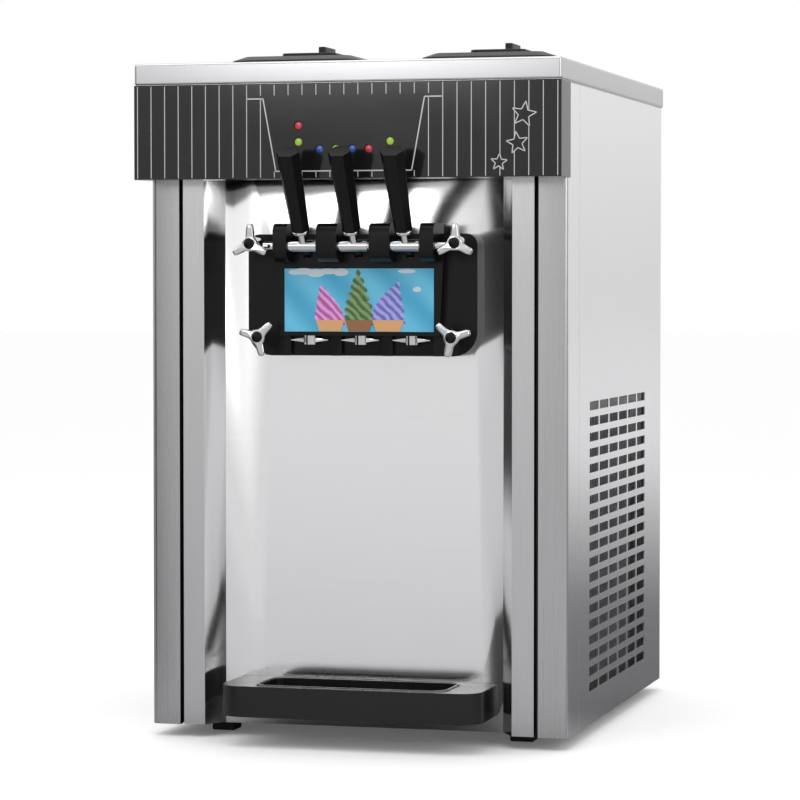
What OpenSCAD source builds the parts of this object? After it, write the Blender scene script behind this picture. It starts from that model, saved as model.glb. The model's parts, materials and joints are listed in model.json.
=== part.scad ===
// Countertop soft serve machine with three draw levers: two freezing cylinders, two hoppers on top,
// a refrigeration set below and a head block in front. Millimetres, +Z up, -Y is the front.
// The origin is on the floor under the middle of the overall box.
// Local places are written from the floor (z), the middle plane (x) and the columns' front face (y).

/* [Cabinet] */
// Width over the side panels
body_w = 534; // [500:1:640]
// Depth from the front columns to the rear panel
body_d = 612; // [580:1:760]
// Height of the panels between the feet and the top cap
body_h = 798; // [780:1:960]
// Thickness of the steel sheet
sheet_t = 1.5; // [0.8:0.1:2]
// Height of the rubber feet
foot_h = 15; // [8:1:40]
// Side of a square foot
foot_size = 30; // [20:1:40]
// Distance of a foot's middle from the side of the body
foot_inset = 72; // [30:1:90]
// Front seam of the side panels, behind the front face
seam_front = 67; // [40:1:80]
// Depth of the rear panel's wrap around each side
rear_wrap = 54; // [30:1:70]

/* [Front] */
// Width of each rounded front column
column_w = 37; // [30:1:40]
// Width of the shadow groove beside a column
groove_w = 5; // [3:0.5:8]
// Width of the flat strip beside a groove
strip_w = 27.5; // [20:0.5:32]
// Depth of the recess behind the columns
recess_d = 31; // [24:1:36]
// Sideways run of the splayed recess walls
splay_w = 18; // [12:1:22]

/* [Top cap and header] */
// Height of the top cap
cap_h = 27; // [20:1:34]
// Overhang of the cap and header past the body's sides
cap_over = 3; // [2:0.5:6]
// Depth of the header in front of the columns
header_d = 53; // [45:1:60]
// Height of the header
header_h = 116; // [100:1:140]
// Thickness of the header's front panel
panel_t = 3; // [2:0.5:4]
// Radius of a push key
key_r = 5; // [4:0.1:6]
// Gap around a push key
key_gap = 0.3; // [0.2:0.05:0.5]

/* [Hoppers and lids] */
// Distance of a hopper's middle from the machine's middle plane
hopper_x = 127; // [122:1:134]
// Width of a hopper pan
hopper_w = 160; // [140:1:170]
// Length of a hopper pan
hopper_l = 298; // [260:1:320]
// Depth of a hopper pan
hopper_h = 188; // [150:1:190]
// Distance of the hopper's front wall behind the front face
hopper_y = 154; // [130:1:170]
// Width of a hopper lid
lid_w = 174; // [174:1:180]
// Length of a hopper lid
lid_l = 316; // [316:1:336]
// Height of a lid's upright wall
lid_wall_h = 16; // [12:1:24]
// Height of the sloping shoulder of a lid
lid_shoulder_h = 6; // [4:1:10]

/* [Head and levers] */
// Sideways place of the head and the tray
head_x = 9; // [0:1:12]
// Half of the head flange's width
flange_half_w = 146.3; // [146:0.1:150]
// Height of the head flange's lower edge
flange_z = 480; // [470:1:490]
// Height of the head flange
flange_h = 150; // [146:1:156]
// Distance between two valves
valve_pitch = 65; // [64:0.5:66]
// Radius of a valve bore
valve_r = 7; // [5:0.1:7]
// Radius of the levers' pivot shaft
shaft_r = 5.2; // [4:0.1:6]
// Running clearance of a pin or shaft in its bore
fit = 0.05; // [0.02:0.01:0.09]
// Forward lean of a lever from upright
lever_lean = 29.8; // [20:0.1:34]
// Drop of a lever's finger below level at rest
finger_drop = 25; // [20:1:26]
// Length of a lever from the shaft to the grip's top
lever_l = 130; // [110:0.1:150]
// Corner radius of the hexagonal grip at its top
grip_top_r = 15; // [11:0.1:16]
// Corner radius of the hexagonal grip at its lower end
grip_low_r = 11.6; // [9:0.1:12]

/* [Knobs] */
// Distance of the upper knobs from the head's middle
knob_upper_x = 129.5; // [129:0.5:131]
// Distance of the lower knobs from the head's middle
knob_lower_x = 122.8; // [118:0.1:130]
// Radius of the knob studs
stud_r = 4; // [3:0.1:5]
// Reach of a knob's arms
knob_arm_l = 24; // [20:0.5:25]

/* [Drip tray] */
// Half of the tray's width
tray_half_w = 165; // [155:1:168]
// Depth of the tray in front of the recess panel
tray_d = 107; // [90:1:115]
// Height of the tray's underside above the floor
tray_z = 38; // [30:1:60]
// Height of the tray
tray_h = 38; // [30:1:50]
// Half of the basin's width
basin_half_w = 118; // [100:1:122]
// Depth of the basin
basin_h = 26; // [16:1:28]

/* [Cooling and drive] */
// Inner radius of a freezing cylinder
cylinder_r = 47.5; // [44:0.5:48]
// Outer radius of a freezing cylinder's jacket
jacket_r = 60; // [54:0.5:62]
// Length of a freezing cylinder
cylinder_l = 298; // [240:1:320]
// Radius of a beater's drive shaft
beater_shaft_r = 9; // [7:0.5:10]
// Radius of the condenser fan
fan_r = 140; // [110:1:150]
// Radius of the compressor
compressor_r = 75; // [60:1:80]

/* [Air slots] */
// Slots in a row
slot_cols = 6; // [3:1:6]
// Rows of slots in a side panel
slot_rows = 19; // [5:1:19]
// Length of a slot
slot_l = 54.5; // [40:0.5:56]
// Height of a slot
slot_h = 11; // [8:0.5:14]
// Distance from one slot to the next in a row
slot_pitch_y = 62.2; // [60:0.1:68]
// Distance from one row to the next
slot_pitch_z = 19.65; // [18:0.05:22]

/* [Hidden] */
$fn = 48;

// Cabinet
half_w = body_w / 2;
body_z = foot_h;
body_top = body_z + body_h;
cap_top = body_top + cap_h;
cap_half_w = half_w + cap_over;
header_z = body_top - header_h;
groove_x = half_w - column_w - groove_w;
strip_x = groove_x - strip_w;
panel_half_w = strip_x - splay_w;
seam_gap = 0.5;
return_d = 12;
seam_rear = body_d - rear_wrap;
screw_head_h = 2.2;
screw_head_r = 4;
post_w = 25;
post_t = 2;
shelf_z = flange_z + 5;
pan_y = recess_d + sheet_t;
pan_end = body_d - sheet_t - post_t;
pan_half_w = half_w - sheet_t - post_t;
pan_wall_h = 25;
post_y = seam_front + seam_gap + sheet_t;
frame_top = cap_top - sheet_t;

// Head
flange_y = -5;
flange_top = flange_z + flange_h;
head_front_y = -18;
head_low_z = flange_z + 25;
head_section_half_w = 107;
valve_y = -8;
cylinder_z = flange_z + flange_h / 2;
plate_y = recess_d + sheet_t;
plate_t = 6;
spigot_l = plate_y - recess_d + plate_t + 5;
cylinder_y = plate_y + plate_t;
cylinder_end = cylinder_y + cylinder_l - plate_t;
shaft_y = -39;
shaft_z = flange_top - 15;
shaft_half_l = 115.5;
ear_front_y = -48;
ear_low_z = shaft_z - 19.5;
ear_top_z = shaft_z + 27.5;
ear_w = [17.5, 26, 26, 17.5];
ear_x = [-93, -33.5, 33.5, 93];
valve_x = [-valve_pitch, 0, valve_pitch];

// Levers and plungers: the finger's end swings evenly about the level line through the shaft
finger_l = (valve_y - shaft_y) * 2 / (1 + cos(finger_drop));
finger_r = 5;
finger_w = 6;
arm_t = 5;
finger_z = shaft_z - finger_l * sin(finger_drop);
window_gap = 0.4;
plunger_head_w = 16;
plunger_head_d = 12;
plunger_head_h = 22;
pocket_w = 28;
pocket_z = finger_z - plunger_head_h / 2 - 0.4;
hub_r = 7.2;
hub_w = 35;
collar_r = 9.5;
collar_h = 3;
pocket_wall = 3;
finger_slot_z = finger_z - 1;
finger_slot_w = finger_w + 6;
grip_start = 23;
tang_r = 4;
tang_l = 70;

// Knobs
knob_upper_z = shaft_z + 3;
knob_lower_z = flange_z + 23.5;
upper_stem = 41;
lower_stem = 31;
knob_t = 10;
knob_hub_r = 9;
knob_hub_step = 1;
knob_arm_inset = 0.6;
knob_cap_r = 7;

// Tray
tray_front_y = recess_d - 0.3 - tray_d;
peg_x = tray_half_w - 24;
peg_z = tray_z + tray_h / 2;
peg_r = 5;
peg_l = 42;

// Keys: middle of each key across the header and above the floor
key_side_x = 58;
key_step_x = 20.7;
key_low_z = header_z + 35.5;
key_mid_z = key_low_z + 9;
key_top_z = key_mid_z + 20;

// Overall box in depth, which sets the origin
lever_tip_y = shaft_y - lever_l * sin(lever_lean) - grip_top_r * cos(30) * cos(lever_lean);
rear_y = body_d + screw_head_h;
middle_y = (lever_tip_y + rear_y) / 2;

// ---- shared shapes ----

module at_floor_middle()
{
    translate([0, -middle_y, 0])
        children();
}

function unit(v) = v / norm(v);

function left_normal(a, b) = [-unit(b - a).y, unit(b - a).x];

function mitred(p, i, t) =
    i == 0 ? p[0] + t * left_normal(p[0], p[1])
    : i == len(p) - 1 ? p[i] + t * left_normal(p[i - 1], p[i])
    : let (n1 = left_normal(p[i - 1], p[i]), n2 = left_normal(p[i], p[i + 1]))
      p[i] + t * (n1 + n2) / (1 + n1 * n2);

// Outline of a folded sheet: the given line and its copy, t to the left of it
function folded(p, t) = concat(p, [for (i = [len(p) - 1 : -1 : 0]) mitred(p, i, t)]);

function arc(c, r, a0, a1, n = 6) =
    [for (i = [0 : n]) c + r * [cos(a0 + (a1 - a0) * i / n), sin(a0 + (a1 - a0) * i / n)]];

// Rectangle with its own radius at the low and the high corners
function rounded(x0, y0, x1, y1, r_low, r_high, n = 6) = concat(
    arc([x0 + r_low, y0 + r_low], r_low, 180, 270, n),
    arc([x1 - r_low, y0 + r_low], r_low, 270, 360, n),
    arc([x1 - r_high, y1 - r_high], r_high, 0, 90, n),
    arc([x0 + r_high, y1 - r_high], r_high, 90, 180, n));

module box(x0, x1, y0, y1, z0, z1)
{
    translate([x0, y0, z0])
        cube([x1 - x0, y1 - y0, z1 - z0]);
}

// Cylinder along +X, +Y or +Z from a point
module rod_x(x, y, z, r, l)
{
    translate([x, y, z])
        rotate([0, 90, 0])
            cylinder(r = r, h = l);
}

module rod_y(x, y, z, r, l)
{
    translate([x, y, z])
        rotate([-90, 0, 0])
            cylinder(r = r, h = l);
}

module rod_z(x, y, z, r, l)
{
    translate([x, y, z])
        cylinder(r = r, h = l);
}

// Flat outline in x and z, extruded along y
module upright(y0, y1)
{
    translate([0, y1, 0])
        rotate([90, 0, 0])
            linear_extrude(height = y1 - y0)
                children();
}

// ---- cabinet ----

// Space that the base pan fills, which the pieces around it leave free
module pan_space()
{
    box(-pan_half_w, pan_half_w, pan_y, pan_end, body_z - 1, body_z + pan_wall_h);
}

module base_pan()
{
    color("gainsboro")
        at_floor_middle()
            difference() {
                box(-pan_half_w, pan_half_w, pan_y, pan_end, body_z, body_z + pan_wall_h);
                box(-pan_half_w + post_t, pan_half_w - post_t, pan_y + post_t, pan_end - post_t,
                    body_z + post_t, body_z + pan_wall_h + 1);
            }
}

module feet()
{
    color("black")
        at_floor_middle()
            for (side = [-1, 1], y = [foot_inset + 8, body_d - foot_inset])
                translate([side * (half_w - foot_inset) - foot_size / 2, y - foot_size / 2, 0])
                    cube([foot_size, foot_size, foot_h]);
}

// Angle post with its corner at the origin, opening towards +x and +y
module angle_post(h)
{
    linear_extrude(height = h)
        polygon([[0, 0], [post_w, 0], [post_w, post_t], [post_t, post_t], [post_t, post_w], [0, post_w]]);
}

// One side of the frame: two posts, a side rail at shelf height and one at the top
module frame_side()
{
    frame_half_w = half_w - sheet_t;
    rear_end = body_d - sheet_t;
    post_h = frame_top - body_z;
    translate([-frame_half_w, post_y, body_z])
        angle_post(post_h);
    translate([-frame_half_w, rear_end, body_z])
        mirror([0, 1, 0])
            angle_post(post_h);
    for (z = [shelf_z, frame_top])
        box(-frame_half_w, -frame_half_w + post_t, post_y, rear_end, z - post_w, z);
}

module chassis_frame()
{
    frame_half_w = half_w - sheet_t;
    rear_end = body_d - sheet_t;
    color("silver")
        at_floor_middle()
            difference() {
                union() {
                    for (side = [0, 1])
                        mirror([side, 0, 0])
                            frame_side();
                    for (y = [post_y, rear_end - post_t])
                        box(-frame_half_w, frame_half_w, y, y + post_t, frame_top - post_w, frame_top);
                    for (y = [post_y + 12, cylinder_end - 40])
                        box(-frame_half_w, frame_half_w, y, y + post_w, shelf_z - post_t, shelf_z);
                }
                pan_space();
            }
}

module front_columns()
{
    bend_r = 7;
    outline = concat(
        [[half_w - return_d, seam_front], [half_w, seam_front]],
        arc([half_w - bend_r, bend_r], bend_r, 0, -90),
        [[half_w - column_w, 0], [half_w - column_w, return_d]]);
    color("lightgray")
        at_floor_middle()
            difference() {
                for (side = [0, 1])
                    mirror([side, 0, 0])
                        translate([0, 0, body_z])
                            linear_extrude(height = body_h)
                                polygon(folded(outline, -sheet_t));
                pan_space();
            }
}

// Sheet with a recess in its middle and an edge behind each column that closes the groove
module front_panel()
{
    edge_x = groove_x + groove_w + 8;
    outline = [
        [-edge_x, return_d], [-groove_x, return_d], [-groove_x, 0], [-strip_x, 0],
        [-panel_half_w, recess_d], [panel_half_w, recess_d],
        [strip_x, 0], [groove_x, 0], [groove_x, return_d], [edge_x, return_d]];
    color("gainsboro")
        at_floor_middle()
            difference() {
                translate([0, 0, body_z + 1])
                    linear_extrude(height = body_top - body_z - 1)
                        polygon(folded(outline, sheet_t));
                for (side = [-1, 1]) {
                    rod_y(head_x + side * valve_pitch, recess_d - 1, cylinder_z, cylinder_r + 0.5, 4);
                    rod_y(head_x + side * knob_upper_x, recess_d - 1, knob_upper_z, stud_r + 0.3, 4);
                    rod_y(head_x + side * knob_lower_x, recess_d - 1, knob_lower_z, stud_r + 0.3, 4);
                    rod_y(head_x + side * peg_x, recess_d - 1, peg_z, peg_r, 4);
                }
            }
}

// Field of air slots on a flat outline: first slot's corner, number of columns and rows
module slots(x, y, cols, rows)
{
    for (c = [0 : cols - 1], r = [0 : rows - 1])
        translate([x + c * slot_pitch_y, y + r * slot_pitch_z])
            square([slot_l, slot_h]);
}

module side_panel()
{
    y0 = seam_front + seam_gap;
    y1 = seam_rear - seam_gap;
    field_l = (slot_cols - 1) * slot_pitch_y + slot_l;
    first_y = (y0 + y1 - field_l) / 2;
    first_z = body_z + 41.5;
    translate([half_w - sheet_t, 0, 0])
        rotate([90, 0, 90])
            linear_extrude(height = sheet_t)
                difference() {
                    translate([y0, body_z])
                        square([y1 - y0, body_h]);
                    slots(first_y, first_z, slot_cols, slot_rows);
                }
    box(half_w - return_d, half_w - sheet_t, y0, y0 + sheet_t, body_z + pan_wall_h, body_top);
}

module right_side_panel()
{
    color("gainsboro")
        at_floor_middle()
            side_panel();
}

module left_side_panel()
{
    color("gainsboro")
        at_floor_middle()
            mirror([1, 0, 0])
                side_panel();
}

rear_slot_cols = 5;
rear_slot_rows = 8;
rear_slots_z = 330;
gland_x = -200;
gland_z = 120;
gland_hole_r = 9;

function screw_places() =
    [for (side = [-1, 1], z = [body_z + 40, body_z + 280, body_z + 520, body_top - 40])
        [side * (half_w - 18), z]];

module rear_panel()
{
    outline = [[half_w, seam_rear], [half_w, body_d], [-half_w, body_d], [-half_w, seam_rear]];
    field_l = (rear_slot_cols - 1) * slot_pitch_y + slot_l;
    color("gainsboro")
        at_floor_middle()
            difference() {
                translate([0, 0, body_z])
                    linear_extrude(height = body_h)
                        polygon(folded(outline, sheet_t));
                upright(body_d - sheet_t - 1, body_d + 1)
                    slots(-field_l / 2, rear_slots_z, rear_slot_cols, rear_slot_rows);
                rod_y(gland_x, body_d - 5, gland_z, gland_hole_r, 10);
            }
}

module rear_screws()
{
    color("silver")
        at_floor_middle()
            for (p = screw_places())
                rod_y(p.x, body_d, p.y, screw_head_r, screw_head_h);
}

// ---- top cap and header ----

hopper_cut_gap = 1;
hopper_corner_r = 16;
cap_t = sheet_t;

// Outline of a hopper pan seen from above, grown by g
module hopper_outline(side, g)
{
    r = hopper_corner_r + g;
    x0 = side * hopper_x - hopper_w / 2 - g;
    x1 = side * hopper_x + hopper_w / 2 + g;
    polygon(rounded(x0, hopper_y - g, x1, hopper_y + hopper_l + g, r, r));
}

module top_cap()
{
    color("gainsboro")
        at_floor_middle()
            difference() {
                box(-cap_half_w, cap_half_w, -header_d, body_d, body_top, cap_top);
                box(-cap_half_w + cap_t, cap_half_w - cap_t, -header_d + cap_t, body_d - cap_t,
                    body_top - 1, cap_top - cap_t);
                for (side = [-1, 1])
                    translate([0, 0, cap_top - cap_t - 1])
                        linear_extrude(height = cap_t + 2)
                            hopper_outline(side, hopper_cut_gap);
            }
}

module header_box()
{
    color("dimgray")
        at_floor_middle()
            difference() {
                box(-cap_half_w, cap_half_w, -header_d + panel_t, 0, header_z, body_top);
                box(-cap_half_w + 2, cap_half_w - 2, -header_d + panel_t - 1, 1, header_z + 2, body_top + 1);
            }
}

function key_place(i) = [
    [-key_side_x, key_top_z], [-key_side_x, key_mid_z], [-1.5 * key_step_x, key_low_z],
    [-0.5 * key_step_x, key_low_z], [0.5 * key_step_x, key_low_z], [1.5 * key_step_x, key_low_z],
    [key_side_x, key_mid_z]][i];

module header_panel()
{
    color("darkslategray")
        at_floor_middle()
            difference() {
                box(-cap_half_w, cap_half_w, -header_d, -header_d + panel_t, header_z, body_top);
                for (i = [0 : 6])
                    rod_y(key_place(i).x, -header_d - 1, key_place(i).y, key_r + key_gap, panel_t + 2);
            }
}

key_flange_t = 1;
key_travel = 0.8;

module key_cap(i, c)
{
    color(c)
        at_floor_middle() {
            rod_y(key_place(i).x, -header_d, key_place(i).y, key_r, panel_t + key_gap + key_flange_t);
            rod_y(key_place(i).x, -header_d + panel_t + key_gap, key_place(i).y, key_r + 1.5, key_flange_t);
        }
}

module key_stop() key_cap(0, "crimson");
module key_auto() key_cap(1, "yellowgreen");
module key_wash_left() key_cap(2, "royalblue");
module key_cool() key_cap(3, "yellowgreen");
module key_wash_right() key_cap(4, "royalblue");
module key_clear() key_cap(5, "crimson");
module key_power() key_cap(6, "yellowgreen");

// Circuit board behind the keys, with a switch under each and standoffs to the header panel
module key_board()
{
    board_y = -header_d + panel_t + key_gap + key_flange_t + key_travel + 2.3;
    color("darkgreen")
        at_floor_middle() {
            box(-key_side_x - 14, key_side_x + 14, board_y, board_y + 1.6, key_low_z - 14, key_top_z + 14);
            for (i = [0 : 6])
                rod_y(key_place(i).x, board_y - 2, key_place(i).y, 2, 2);
            for (x = [-key_side_x - 10, key_side_x + 10], z = [key_low_z - 10, key_top_z + 10])
                rod_y(x, -header_d + panel_t, z, 3, board_y + header_d - panel_t);
        }
}

// ---- hoppers ----

hopper_t = 1.5;
rim_w = 3;
outlet_r = 8;
spout_r = 10;
outlet_x = valve_pitch + 7;
outlet_y = hopper_y + 26;
hopper_floor = cap_top - hopper_h;
spout_end = cylinder_z + cylinder_r + 3;

// One welded pan: rim on the cap, basin and outlet spout down to the freezing cylinder
module hopper(side)
{
    x_out = head_x + side * outlet_x;
    difference() {
        union() {
            translate([0, 0, hopper_floor])
                linear_extrude(height = hopper_h)
                    hopper_outline(side, 0);
            translate([0, 0, cap_top])
                linear_extrude(height = hopper_t)
                    hopper_outline(side, rim_w);
            rod_z(x_out, outlet_y, spout_end, spout_r, hopper_floor - spout_end + 1);
        }
        translate([0, 0, hopper_floor + hopper_t])
            linear_extrude(height = hopper_h + 1)
                hopper_outline(side, -hopper_t);
        rod_z(x_out, outlet_y, spout_end - 1, outlet_r, hopper_floor - spout_end + 5);
    }
}

module hoppers()
{
    color("gainsboro")
        at_floor_middle() {
            hopper(-1);
            hopper(1);
        }
}

// Tube that meters air into the mix: its foot stands in the outlet, its collar on the hopper's floor
module air_tubes()
{
    tube_r = 6;
    color("white")
        at_floor_middle()
            for (side = [-1, 1]) {
                x_out = head_x + side * outlet_x;
                z0 = hopper_floor + hopper_t;
                difference() {
                    union() {
                        rod_z(x_out, outlet_y, z0 - 12, tube_r, hopper_h - 40);
                        rod_z(x_out, outlet_y, z0, outlet_r + 2, 4);
                    }
                    rod_z(x_out, outlet_y, z0 - 20, tube_r - 2, hopper_h);
                }
            }
}

// Lid: upright wall, sloping shoulder, raised tier and a rib to lift it by
module lid(side)
{
    x = side * hopper_x;
    y0 = hopper_y + hopper_l / 2 - lid_l / 2;
    y1 = y0 + lid_l;
    z0 = cap_top + 0.3;
    z1 = z0 + lid_wall_h;
    z2 = z1 + lid_shoulder_h;
    shoulder_w = 16.5;
    corner_r = 24;
    wall = 3;
    tier_half_w = 36.5;
    tier_half_l = 90;
    rib_half_w = 5;
    rib_half_l = 26;
    y = (y0 + y1) / 2;
    color("dimgray")
        at_floor_middle() {
            difference() {
                hull() {
                    translate([0, 0, z0])
                        linear_extrude(height = lid_wall_h)
                            polygon(rounded(x - lid_w / 2, y0, x + lid_w / 2, y1, corner_r, corner_r));
                    translate([0, 0, z2 - 0.5])
                        linear_extrude(height = 0.5)
                            polygon(rounded(x - lid_w / 2 + shoulder_w, y0 + shoulder_w,
                                x + lid_w / 2 - shoulder_w, y1 - shoulder_w, corner_r / 2, corner_r / 2));
                }
                translate([0, 0, z0 - 1])
                    linear_extrude(height = lid_wall_h + 1 - 0.5)
                        polygon(rounded(x - lid_w / 2 + wall, y0 + wall, x + lid_w / 2 - wall, y1 - wall,
                            corner_r - wall, corner_r - wall));
            }
            translate([0, 0, z2 - 0.1])
                linear_extrude(height = 7.5)
                    polygon(rounded(x - tier_half_w, y - tier_half_l, x + tier_half_w, y + tier_half_l, 10, 10));
            translate([0, 0, z2 + 7])
                linear_extrude(height = 13)
                    polygon(rounded(x - rib_half_w, y - rib_half_l, x + rib_half_w, y + rib_half_l, 4, 4));
        }
}

module lid_left() lid(-1);
module lid_right() lid(1);

// ---- freezing cylinders, beaters and drive ----

module freezing_cylinders()
{
    plate_half_w = flange_half_w - 2;
    color("silver")
        at_floor_middle()
            difference() {
                union() {
                    box(head_x - plate_half_w, head_x + plate_half_w, plate_y, cylinder_y,
                        flange_z + 4, flange_top - 4);
                    for (side = [-1, 1])
                        rod_y(head_x + side * valve_pitch, plate_y, cylinder_z, jacket_r, cylinder_end - plate_y);
                }
                for (side = [-1, 1]) {
                    x = head_x + side * valve_pitch;
                    rod_y(x, plate_y - 1, cylinder_z, cylinder_r, cylinder_end - plate_t - plate_y + 1);
                    rod_y(x, cylinder_end - plate_t - 1, cylinder_z, beater_shaft_r + 4, plate_t + 2);
                    rod_z(head_x + side * outlet_x, outlet_y, cylinder_z, spout_r + 0.3, jacket_r);
                    rod_y(head_x + side * knob_upper_x, plate_y - 1, knob_upper_z, stud_r, plate_t + 2);
                    rod_y(head_x + side * knob_lower_x, plate_y - 1, knob_lower_z, stud_r, plate_t + 2);
                }
            }
}

module foam_jacket()
{
    gap = 0.3;
    color("darkslategray")
        at_floor_middle()
            difference() {
                box(head_x - valve_pitch - jacket_r - 8, head_x + valve_pitch + jacket_r + 8,
                    cylinder_y, cylinder_end, shelf_z, flange_top - 2);
                for (side = [-1, 1]) {
                    rod_y(head_x + side * valve_pitch, cylinder_y - 1, cylinder_z, jacket_r + gap,
                        cylinder_l + 2);
                    rod_z(head_x + side * outlet_x, outlet_y, cylinder_z, spout_r + gap, flange_h);
                }
            }
}

// Flat gasket on each spigot of the head and lip seal around each drive shaft
module seals()
{
    gasket_t = 2;
    color("black")
        at_floor_middle()
            for (side = [-1, 1]) {
                x = head_x + side * valve_pitch;
                difference() {
                    rod_y(x, recess_d + spigot_l, cylinder_z, cylinder_r - 0.3, gasket_t);
                    rod_y(x, recess_d + spigot_l - 1, cylinder_z, cylinder_r - 8, gasket_t + 2);
                }
                difference() {
                    rod_y(x, cylinder_end - plate_t, cylinder_z, beater_shaft_r + 4, plate_t);
                    rod_y(x, cylinder_end - plate_t - 1, cylinder_z, beater_shaft_r + 0.3, plate_t + 2);
                }
            }
}

beater_nose_r = 6;
beater_start = recess_d + spigot_l + 3.5;
gearbox_l = 50;

// Open beater: nose, spine, three spoked rings and two scraper blades, with a drive shaft behind
module beater(side)
{
    x = head_x + side * valve_pitch;
    blade_r = cylinder_r - 1;
    rear = cylinder_end - plate_t - 6;
    spoke_t = 8;
    color("white")
        at_floor_middle() {
            rod_y(x, beater_start - 10, cylinder_z, beater_nose_r, 20);
            rod_y(x, beater_start, cylinder_z, beater_nose_r + 2, rear - beater_start);
            rod_y(x, rear - spoke_t, cylinder_z, beater_shaft_r, cylinder_end + gearbox_l - 12 - rear + spoke_t);
            for (y = [beater_start, (beater_start + rear - spoke_t) / 2, rear - spoke_t])
                box(x - blade_r + 6, x + blade_r - 6, y, y + spoke_t, cylinder_z - 7, cylinder_z + 7);
            for (s = [-1, 1])
                box(min(x + s * (blade_r - 10), x + s * (blade_r - 1.5)),
                    max(x + s * (blade_r - 10), x + s * (blade_r - 1.5)),
                    beater_start, rear, cylinder_z - 9, cylinder_z + 9);
        }
}

module beater_left() beater(-1);
module beater_right() beater(1);

module gear_motors()
{
    box_half = 48;
    motor_r = 46;
    motor_l = 130;
    color("dimgray")
        at_floor_middle()
            for (side = [-1, 1]) {
                x = head_x + side * valve_pitch;
                difference() {
                    union() {
                        box(x - box_half, x + box_half, cylinder_end, cylinder_end + gearbox_l,
                            cylinder_z - box_half, cylinder_z + box_half);
                        rod_y(x, cylinder_end + gearbox_l - 1, cylinder_z, motor_r, motor_l);
                    }
                    rod_y(x, cylinder_end - 1, cylinder_z, beater_shaft_r + fit, gearbox_l - 9);
                }
            }
}

// ---- head block ----

port_r = 4.5;
port_z = head_low_z + 10;

module ear(x, w)
{
    outline = concat(
        arc([ear_front_y + 12, ear_top_z - 12], 12, 180, 90),
        [[flange_y + 8, ear_top_z], [flange_y + 8, ear_low_z], [ear_front_y + 14, ear_low_z]],
        arc([ear_front_y + 9, ear_low_z + 12], 9, 250, 180, 4));
    translate([x - w / 2, 0, 0])
        rotate([90, 0, 90])
            linear_extrude(height = w)
                polygon(outline);
}

module head_block()
{
    low_half_w = head_section_half_w - 5;
    section_top = ear_low_z + 12;
    color("#1c1c1e")
        at_floor_middle()
            translate([head_x, 0, 0])
                difference() {
                    union() {
                        upright(flange_y, recess_d)
                            polygon(rounded(-flange_half_w, flange_z, flange_half_w, flange_top, 30, 14));
                        upright(head_front_y, flange_y + 1)
                            polygon([[-low_half_w, head_low_z], [low_half_w, head_low_z],
                                [head_section_half_w, section_top], [-head_section_half_w, section_top]]);
                        for (i = [0 : 3])
                            ear(ear_x[i], ear_w[i]);
                        for (side = [-1, 1])
                            rod_y(side * valve_pitch, recess_d - 1, cylinder_z, cylinder_r - 0.3, spigot_l + 1);
                    }
                    for (x = valve_x) {
                        rod_z(x, valve_y, flange_z - 1, valve_r, flange_h);
                        box(x - pocket_w / 2, x + pocket_w / 2, head_front_y + pocket_wall, valve_y + 10,
                            pocket_z, flange_top + 1);
                        box(x - finger_slot_w / 2, x + finger_slot_w / 2, head_front_y - 1, valve_y,
                            finger_slot_z, flange_top + 1);
                        box(x - 26, x + 26, flange_y - 1, flange_y + 8, flange_z - 1, head_low_z);
                        rod_y(x, valve_y, port_z, port_r, recess_d / 2 - valve_y);
                    }
                    rod_x(-valve_pitch, recess_d / 2, port_z, port_r, 2 * valve_pitch);
                    for (side = [-1, 1]) {
                        rod_y(side * valve_pitch, valve_y, port_z, port_r, recess_d + spigot_l + 1 - valve_y);
                        rod_y(side * valve_pitch, beater_start - 12, cylinder_z, beater_nose_r + fit, 20);
                        rod_y(side * knob_upper_x, flange_y - 1, knob_upper_z, stud_r + 0.3, 60);
                        rod_y(side * knob_lower_x, flange_y - 1, knob_lower_z, stud_r + 0.3, 60);
                    }
                    rod_x(-head_section_half_w, shaft_y, shaft_z, shaft_r + fit, 2 * head_section_half_w);
                }
}

module picture_panel()
{
    color("deepskyblue")
        at_floor_middle()
            box(head_x - 95, head_x + 95, head_front_y - 1.5, head_front_y, head_low_z + 5, ear_low_z - 8);
}

function star(r_out, r_in, n) =
    [for (i = [0 : 2 * n - 1]) (i % 2 == 0 ? r_out : r_in) * [cos(180 * i / n), sin(180 * i / n)]];

module star_nozzles()
{
    nozzle_h = 11;
    wing_reach = 24;
    wing_root_x = 7;
    wing_root_t = 2.8;
    wing_tip_t = 0.4;
    wing_w = 10;
    wing = [[wing_reach, wing_tip_t], [wing_root_x, wing_root_t], [-wing_root_x, wing_root_t],
            [-wing_reach, wing_tip_t], [-wing_reach, -wing_tip_t], [-wing_root_x, -wing_root_t],
            [wing_root_x, -wing_root_t], [wing_reach, -wing_tip_t]];
    color("silver")
        at_floor_middle()
            for (x = valve_x)
                translate([head_x + x, valve_y, head_low_z - nozzle_h])
                    difference() {
                        union() {
                            cylinder(r = 9, h = nozzle_h);
                            translate([0, wing_w / 2, nozzle_h / 2])
                                rotate([90, 0, 0])
                                    linear_extrude(height = wing_w)
                                        polygon(wing);
                        }
                        translate([0, 0, -1])
                            linear_extrude(height = nozzle_h + 2)
                                polygon(star(6, 4, 6));
                    }
}

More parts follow.
